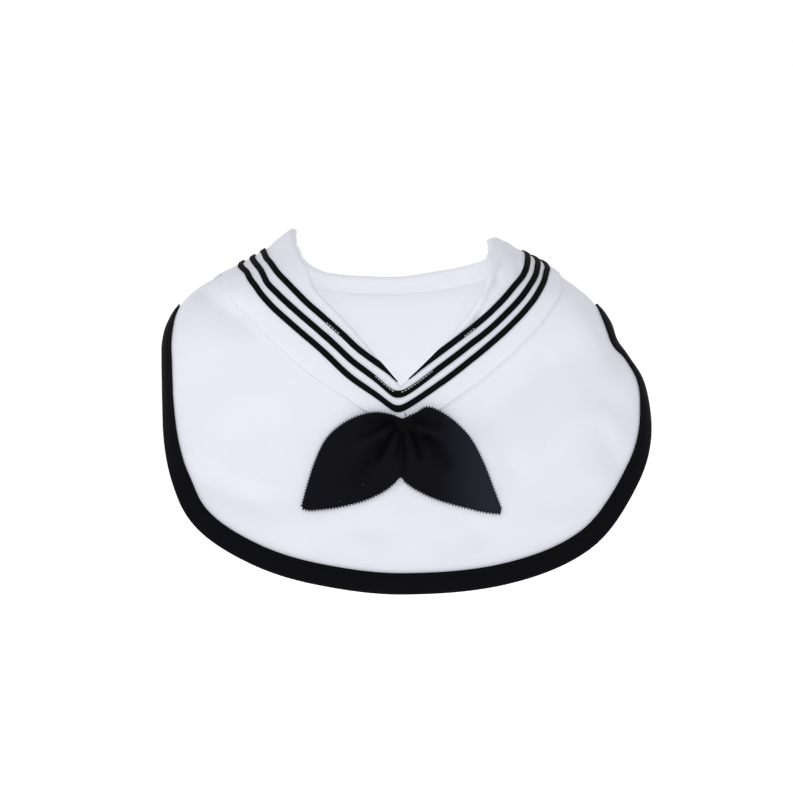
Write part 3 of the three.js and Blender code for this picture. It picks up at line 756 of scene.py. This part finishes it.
# white stitches that show at the edges of the braids: line, across it, from x to x
white_ticks = bmesh.new()
fine_columns = round_the_neck(400, 10)
turned_middle = turned(middle_braid, MIDDLE_TURN)
TICK_PROUD = 0.25
ON_BRAID = ON_BIB + COLLAR_THICKNESS / 2 + BRAID_THICKNESS + TICK_PROUD
for line, across, low_x, high_x in (
        (inner_braid, 1.05, -39.5, -31.5), (inner_braid, 1.05, 34, 40.5),
        (turned_middle, -0.9, -14, -3.5), (turned_middle, -0.9, 0, 17.5)):
    tick_points = cloth_point(*beside(line, across)(*fine_columns), ON_BRAID)
    shown = (tick_points[:, 0] > low_x) & (tick_points[:, 0] < high_x) & (tick_points[:, 1] < 0)
    stitch_row(white_ticks, tick_points[shown], pitch=1.9, length=1.35, radius=0.19)
sewn("white_stitches", white_ticks, white_thread)


# The neckerchief: two leaves of blue-black cloth, each doubled, gathered together under the V and
# tacked by hand. The gathers puff out round the tack and die away towards the tips.
TACK_X, TACK_Z = 1.0, -102.8
# from the gather to the tip: reach, top edge x and z, bottom edge x and z
LEAVES = {
    "neckerchief_right": [
        (0, 0.5, -98, -0.5, -128.3), (0.1, 7.6, -95.3, 3.6, -132.1), (0.2, 13.6, -92.1, 8.6, -135.5),
        (0.35, 21.2, -94.8, 16.4, -139.3), (0.5, 29.5, -100.5, 24.6, -142.1),
        (0.65, 37, -108.6, 33.2, -144.4), (0.8, 43.7, -121.9, 42.2, -146.7),
        (0.92, 49.2, -136.7, 49.2, -147.8), (1, 52.8, -146.2, 52.4, -148)],
    "neckerchief_left": [
        (0, 0.1, -98, -1.5, -128.3), (0.1, -7.4, -95.6, -6.4, -133), (0.2, -14.2, -94.7, -11.6, -136.6),
        (0.35, -23.4, -96.6, -19.6, -140.2), (0.5, -32.6, -101.4, -27.8, -142.5),
        (0.65, -40.3, -108.8, -35.6, -144.1), (0.8, -46, -120.4, -43.2, -145),
        (0.92, -50.3, -133.5, -49, -145.4), (1, -53, -143.4, -52.4, -144.6)],
}
# creases and ridges that run out from the gather: x, z, x, z, width, height
GATHERS = [
    (-4.5, -104, -12.5, -119, 1.8, -2), (-1.6, -106.5, -3, -117.5, 1.4, -1.6),
    (5.6, -105.5, 9.4, -118.5, 1.8, -2), (-5.5, -100.4, -20.5, -107.9, 1.9, -1.4),
    (-5.8, -102.9, -24.2, -113, 1.7, 1.0), (9, -102.9, 21, -107.8, 1.7, 1.1),
    (8, -99.4, 19, -101.8, 2.4, -0.9), (-7, -98.4, -17, -99.3, 2, -0.9),
    (3.2, -106, 5.8, -120, 1.2, 0.8), (1.4, -107, 0.3, -125, 1, -1.3),
    (11, -104.5, 17, -111, 3, -0.7), (-3.4, -106, -7.4, -119, 1.2, 0.8),
    (13, -108, 24, -122, 3.5, -0.7), (-12, -112, -24, -128, 4, -0.7),
]
# its darker colour is painted shade in the furrows between the stitches
tie_cloth = knitted("blue-black cloth", (0.006, 0.0062, 0.0095), (0.002, 0.002, 0.0035), wale=0.45,
                    course=0.42, stitch_depth=0.06, sheen=0.02, specular=0.05)
# a tone above 0 is a painted sheen and painted highlight, below 0 painted shade in the creases and round
# the tack
PAINTED_SHEEN, PAINTED_CREASE_SHADE = (0.0185, 0.0185, 0.029, 1), (0.0003, 0.0003, 0.0005, 1)
tie_tree = tie_cloth.node_tree
tie_colour = tie_tree.nodes["Principled BSDF"].inputs["Base Color"]
painted_light_value = wire(tie_tree, "ShaderNodeAttribute", attribute_name="tone").outputs["Fac"]
sheen_share = maths(tie_tree, "MAXIMUM", painted_light_value, 0.0)
sheened = wire(tie_tree, "ShaderNodeMix", [(0, sheen_share), (6, tie_colour.links[0].from_socket), (7, PAINTED_SHEEN)],
             data_type="RGBA")
crease_shade_share = maths(tie_tree, "MAXIMUM", maths(tie_tree, "MULTIPLY", painted_light_value, -1.0), 0.0)
crease_shaded = wire(tie_tree, "ShaderNodeMix", [(0, crease_shade_share), (6, sheened.outputs[2]), (7, PAINTED_CREASE_SHADE)],
               data_type="RGBA")
tie_tree.links.new(crease_shaded.outputs[2], tie_colour)
# how far the line where the leaves meet wanders from the centre, from top to bottom
seam_line = smooth_curve([0, 0.15, 0.37, 0.72, 1], [0, 0.7, 0.9, 2.4, 0])
TIE_THICKNESS = 1.2
blue_black_thread = thread_material("blue-black thread", (0.007, 0.007, 0.012), (0.0025, 0.0025, 0.005),
                                    sheen=0.02)
# how high the leaves lie, on the collar near the tack and on the cape beyond, and where they step down
ON_COLLAR, ON_CAPE, COLLAR_TO, CAPE_FROM = 2.3, 0.5, 18, 32
# how far they swell, how far from the tack they swell most, and the share of it at their edges
SWELL, SWELL_AT, LEAST_FULL = 5.3, 9, 0.25
# the swell is less where they meet, and each reaches a little past that line
SEAM_X, SEAM_WIDTH, SEAM_DEPTH, LEAF_OVERLAP = 1.4, 3.2, 0.75, 0.6
TIE_CLEARANCE = 0.1


def tie_lift(x, z, v):
    """How high a leaf lies over the bib, at a share v of the way from its top edge to its bottom edge."""
    away = np.hypot(x - TACK_X, z - TACK_Z)
    rest = ON_COLLAR + smooth_step(COLLAR_TO, CAPE_FROM, away) * (ON_CAPE - ON_COLLAR)
    swell = (away / SWELL_AT) * np.exp(1 - away / SWELL_AT)
    seam = 1 - SEAM_DEPTH * np.exp(-(((x - SEAM_X) / SEAM_WIDTH) ** 2))
    fullness = LEAST_FULL + (1 - LEAST_FULL) * np.sqrt(np.maximum(4 * v * (1 - v), 0))
    inside_edges = np.clip(4 * v, 0, 1) * np.clip(4 * (1 - v), 0, 1)
    gathers = ridge_heights(x, z, GATHERS, fade=0.75) * inside_edges
    return rest + SWELL * swell * seam * fullness + gathers + TIE_THICKNESS / 2 + TIE_CLEARANCE


def leaf_place(name, side, u, v):
    """Where a point of a leaf lies: u runs from the gather to the tip, v from top edge to bottom edge."""
    reach, top_x, top_z, bottom_x, bottom_z = np.array(LEAVES[name]).T
    x = smooth_curve(reach, top_x)(u) * (1 - v) + smooth_curve(reach, bottom_x)(u) * v
    z = smooth_curve(reach, top_z)(u) * (1 - v) + smooth_curve(reach, bottom_z)(u) * v
    return x + (seam_line(v) - side * LEAF_OVERLAP) * (1 - u) ** 6, z


def tie_painted_light(side, x, z):
    """Painted light and shade on a leaf: a painted sheen towards the right leaf's tip, painted highlights
    on the ridges of the gathers, painted shade in the creases and round the tack.
    """
    # the right leaf gets a painted sheen towards its tip, the left one very little
    sheen_from, sheen_to, most_sheen = (14, 50, 0.95) if side > 0 else (16, 50, 0.08)
    ridge_highlight, tack_shade, crease_shade = 0.3, 0.3, 0.9
    tack_spread, full_crease = 15, 1.1
    gathers = ridge_heights(x, z, GATHERS, fade=0.6)
    near_tack = np.exp(-((np.hypot(x - TACK_X, z - TACK_Z) / tack_spread) ** 2))
    sheened = smooth_step(sheen_from, sheen_to, side * x) * most_sheen
    ridges, creases = np.clip(gathers, 0, 1), np.clip(-gathers / full_crease, 0, 1)
    return np.clip(sheened + ridge_highlight * ridges - tack_shade * near_tack - crease_shade * creases, -1, 1)


def overlock(mesh, name, side, edge):
    """Loops of thread round an edge of a leaf, and a row of stitches inside it."""
    # distance in from the edge, and height over the cloth
    outer_end, inner_end, seam_place = (-0.9, 0.1), (1.1, 0.5), (2.7, 0.58)
    loop_pitch, loop_lean, seam_needs_width = 1.7, 0.3, 9
    u = np.linspace(0.06, 1, 300)
    across = np.subtract(leaf_place(name, side, u, 0), leaf_place(name, side, u, 1))
    width = np.linalg.norm(across, axis=0)
    edge_x, edge_z = leaf_place(name, side, u, edge)
    inward = np.stack([-np.gradient(edge_z), np.gradient(edge_x)]) * side * (2 * edge - 1)
    inward = inward / np.linalg.norm(inward, axis=0)
    rows = []
    for distance, lift in (outer_end, inner_end, seam_place):
        inside = np.minimum(distance, width / 2)
        x, z = edge_x + inward[0] * inside, edge_z + inward[1] * inside
        v = np.clip(edge + (1 - 2 * edge) * inside / width, 0, 1)
        rows.append(cloth_point(*spot_at(x, z), tie_lift(x, z, v) + lift))
    outer, inner, seam = rows
    run = run_along(outer)
    starts = np.arange(0, run[-1], loop_pitch)
    heads, tails = points_at(starts, run, outer), points_at(starts + loop_lean, run, inner)
    stitches(mesh, heads, tails, radius=0.46)
    stitch_row(mesh, seam[width > seam_needs_width], pitch=1.9, length=1.4, radius=0.11)


def fold_leaf(name, node):
    """A leaf of the neckerchief, with its overlocked edges."""
    u, v = np.meshgrid(np.linspace(0, 1, 91), np.linspace(0, 1, 61))
    side = 1 if "right" in name else -1
    x, z = leaf_place(name, side, u, v)
    points = cloth_point(*spot_at(x, z), tie_lift(x, z, v))
    places, painted_light_and_shade = np.stack([x, z], axis=-1), tie_painted_light(side, x, z)
    if side > 0:
        points, places, painted_light_and_shade = points[::-1], places[::-1], painted_light_and_shade[::-1]
    leaf = lay_cloth(name, points, places, TIE_THICKNESS, painted_light_and_shade)
    leaf.data.materials.append(tie_cloth)
    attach(leaf, "root")
    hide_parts(node)
    loops = bmesh.new()
    overlock(loops, name, side, 0)
    overlock(loops, name, side, 1)
    sewn(name + "_stitches", loops, blue_black_thread)


fold_leaf("neckerchief_right", "tie_right")
fold_leaf("neckerchief_left", "tie_left")


# The tack: a few turns of black thread, laid by hand over the gathers from top to bottom.
TURNS, TURN_SPACING, HALF_WIDTH, HALF_LENGTH, STRAND = 6, 0.6, 1.5, 2.7, 0.42 * MM
TACK_LIFT, TACK_CROWN, CROWN_STEP, TACK_LEAN, LEAN_STEP = 5.1, 0.5, 0.8, 0.25, 2.1
TOP_DROP, BOTTOM_DROP = 0.9, 0.6
tack_mesh = bmesh.new()
for step in range(TURNS):
    x = TACK_X - HALF_WIDTH + TURN_SPACING * step
    # the middle turns stand highest, and each leans its own way
    lift = TACK_LIFT + TACK_CROWN * math.cos((step - (TURNS - 1) / 2) * CROWN_STEP)
    lean = TACK_LEAN * math.sin(step * LEAN_STEP)
    top = cloth_point(*spot_at(np.array(x + lean), np.array(TACK_Z + HALF_LENGTH)), lift - TOP_DROP)
    middle = cloth_point(*spot_at(np.array(x), np.array(TACK_Z)), lift)
    bottom = cloth_point(*spot_at(np.array(x - lean), np.array(TACK_Z - HALF_LENGTH)), lift - BOTTOM_DROP)
    thread_bead(tack_mesh, top * MM, middle * MM, STRAND)
    thread_bead(tack_mesh, middle * MM, bottom * MM, STRAND)
tack = sewn("tack_thread", tack_mesh, black_thread)
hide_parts("tie_tack")

# a loose end of the thread above it, and two flecks of lint on the left leaf
loose_end = bmesh.new()
end_spots = spot_at(np.array([1.7, 2.1, 2.3]), np.array([-94.6, -95.8, -97.2]))
end_path = cloth_point(*end_spots, np.array([2.3, 2.6, 3.1]))
stitch_row(loose_end, end_path, pitch=0.6, length=1.2, radius=0.24)
sewn("thread_end", loose_end, black_thread)
lint_grey = thread_material("grey lint", (0.06, 0.065, 0.06), (0.03, 0.03, 0.03), sheen=0.1)
lint_mesh = bmesh.new()
FLECK_ENDS = np.array([-1, 1])
FLECK_ACROSS, FLECK_RISE, FLECK_LIFT, FLECK_RADIUS = 0.25, 0.2, 0.85, 0.4 * MM
for x, z in ((-32.8, -140.7), (-20.7, -132.5)):
    fleck_x, fleck_z = x + FLECK_ENDS * FLECK_ACROSS, z + FLECK_ENDS * FLECK_RISE
    fleck = cloth_point(*spot_at(fleck_x, fleck_z), tie_lift(fleck_x, fleck_z, v=0.8) + FLECK_LIFT)
    thread_bead(lint_mesh, fleck[0] * MM, fleck[1] * MM, FLECK_RADIUS)
sewn("lint", lint_mesh, lint_grey)


# The room: a pale floor that glows a little, under a bright even sky. A soft lamp lights the bib from
# the upper left, another from in front, and two from behind.
FLOOR_SIZE, FLOOR_HEIGHT, FLOOR_GLOW = 30, -0.42, 0.5
PURE_WHITE = (1, 1, 1, 1)
floor_mesh = bmesh.new()
bmesh.ops.create_grid(floor_mesh, x_segments=1, y_segments=1, size=FLOOR_SIZE)
bmesh.ops.translate(floor_mesh, verts=floor_mesh.verts, vec=(0, 0, FLOOR_HEIGHT))
floor = placed("floor", floor_mesh)
pale = bpy.data.materials.new("pale floor")
pale.use_nodes = True
floor_shader = pale.node_tree.nodes["Principled BSDF"]
floor_shader.inputs["Base Color"].default_value = (0.95, 0.95, 0.95, 1)
floor_shader.inputs["Roughness"].default_value = 0.9
floor_shader.inputs["Emission Color"].default_value = PURE_WHITE
floor_shader.inputs["Emission Strength"].default_value = FLOOR_GLOW
floor.data.materials.append(pale)

world = bpy.data.worlds.new("bright sky")
bpy.context.scene.world = world
world.use_nodes = True
sky_tree = world.node_tree
# the sky is seen as plain white, and gives the bib less light than that
SKY_LIGHT, SKY_LOOK = 0.57, 1.0
room_light = sky_tree.nodes["Background"]
room_light.inputs["Color"].default_value = PURE_WHITE
room_light.inputs["Strength"].default_value = SKY_LIGHT
backdrop = wire(sky_tree, "ShaderNodeBackground", [("Color", PURE_WHITE), ("Strength", SKY_LOOK)])
seen = wire(sky_tree, "ShaderNodeLightPath")
either = wire(sky_tree, "ShaderNodeMixShader", [(0, seen.outputs["Is Camera Ray"])])
sky_tree.links.new(room_light.outputs[0], either.inputs[1])
sky_tree.links.new(backdrop.outputs[0], either.inputs[2])
sky_tree.links.new(either.outputs[0], sky_tree.nodes["World Output"].inputs[0])


def direction(azimuth, elevation):
    """The way to a place round the bib: degrees round from the front towards +X, and degrees up."""
    a, e = math.radians(azimuth), math.radians(elevation)
    return Vector((math.sin(a) * math.cos(e), -math.cos(a) * math.cos(e), math.sin(e)))


def aimed(name, data, target, back, distance):
    """A lamp or camera that looks at a target from a distance."""
    thing = bpy.data.objects.new(name, data)
    thing.location = target + back * distance
    thing.rotation_mode = "QUATERNION"
    thing.rotation_quaternion = back.to_track_quat("Z", "Y")
    bpy.context.scene.collection.objects.link(thing)
    return thing


BIB_MIDDLE, LAMP_DISTANCE = Vector((0, 0, -0.09)), 1.8
for name, azimuth, elevation, size, power in (
        ("key lamp", -36, 48, 0.45, 5), ("front lamp", -4, 14, 0.6, 5.7),
        ("back lamp, left", -140, 30, 0.8, 5), ("back lamp, right", 140, 25, 0.8, 5)):
    lamp_data = bpy.data.lights.new(name, "AREA")
    lamp_data.shape = "DISK"
    lamp_data.size = size
    lamp_data.energy = power
    aimed(name, lamp_data, BIB_MIDDLE, direction(azimuth, elevation), LAMP_DISTANCE)

# The camera stands 1.2 m off, a little above the collar and to its left, and frames it as the photograph
# does: 0.553 mm to a pixel at the neck, whose centre is at pixel (396, 232) of 793.
PIXEL, PIXELS = 0.553 * MM, 793
NECK_PIXEL_X, NECK_PIXEL_Y = 396, 232
CAMERA_DISTANCE, CAMERA_AZIMUTH, CAMERA_ELEVATION, SENSOR = 1.2, -3, 6, 36
back = direction(CAMERA_AZIMUTH, CAMERA_ELEVATION)
right = Vector((math.cos(math.radians(CAMERA_AZIMUTH)), math.sin(math.radians(CAMERA_AZIMUTH)), 0))
up = back.cross(right)
target = right * ((PIXELS / 2 - NECK_PIXEL_X) * PIXEL) - up * ((PIXELS / 2 - NECK_PIXEL_Y) * PIXEL)
camera_data = bpy.data.cameras.new("camera")
camera_data.sensor_width = SENSOR
camera_data.lens = SENSOR * CAMERA_DISTANCE / (PIXELS * PIXEL)
bpy.context.scene.camera = aimed("camera", camera_data, target, back, CAMERA_DISTANCE)
bpy.context.scene.view_settings.view_transform = "Standard"
